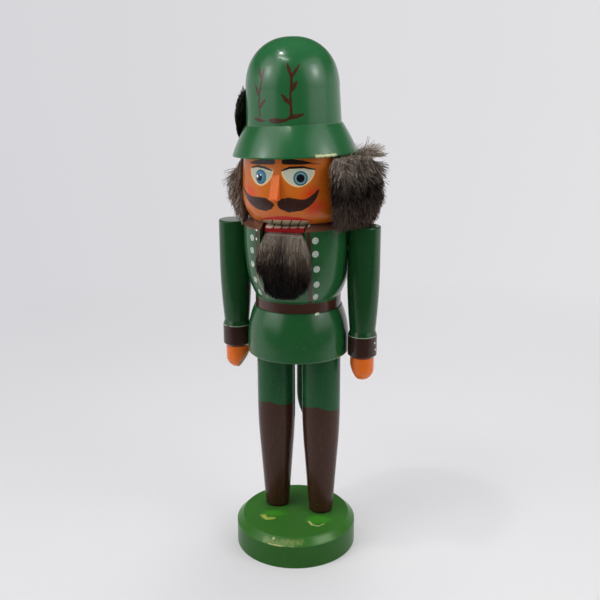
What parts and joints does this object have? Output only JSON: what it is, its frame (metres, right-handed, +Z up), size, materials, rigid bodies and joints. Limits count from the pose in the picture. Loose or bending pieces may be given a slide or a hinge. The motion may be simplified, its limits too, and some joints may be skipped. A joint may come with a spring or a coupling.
{
  "type": "nutcracker figure",
  "caption": "Turned and painted wooden soldier figure that cracks nuts: a long lever at the back works the lower jaw; brimmed hat, fur hair and beard, round foot.",
  "frame": {"origin": "middle of the foot's flat underside", "axes": "+Z up, the figure faces -Y, +X to the figure's own left"},
  "size_m": [0.1147, 0.1051, 0.351],
  "materials": {
    "green_paint": "glossy lacquer",
    "coat_paint": "glossy lacquer",
    "leg_paint": "glossy lacquer",
    "face_paint": "satin lacquer",
    "raw_wood": "raw",
    "steel": "plain",
    "hair": "fur",
    "beard": "fur",
    "feather": "soft"
  },
  "bodies": {
    "figure": {"base_disc": "green_paint", "leg_left": "leg_paint", "leg_right": "leg_paint", "body": "coat_paint", "arm_left": "coat_paint", "arm_right": "coat_paint", "shoulder_dowel_left": "raw_wood", "shoulder_dowel_right": "raw_wood", "hat": "green_paint", "hat_dowel": "raw_wood", "nose_peg": "face_paint", "pivot_pin": "steel", "hair_fur": "hair", "feather": "feather"},
    "jaw_lever": {"jaw_lever": "coat_paint"},
    "beard": {"beard_fur": "beard"}
  },
  "joints": [
    {"name": "jaw_swing", "type": "hinge", "parent": "figure", "child": "jaw_lever", "pos_m": [0, 0.0176, 0.215], "axis": [1, 0, 0], "range_deg": [0, 30]},
    {"name": "beard_hang", "type": "hinge", "parent": "jaw_lever", "child": "beard", "pos_m": [0, -0.0209, 0.2308], "axis": [1, 0, 0], "range_deg": [-30, 0]}
  ],
  "couplings": [
    {"joint": "beard_hang", "follows": "jaw_swing", "ratio": -1}
  ]
}
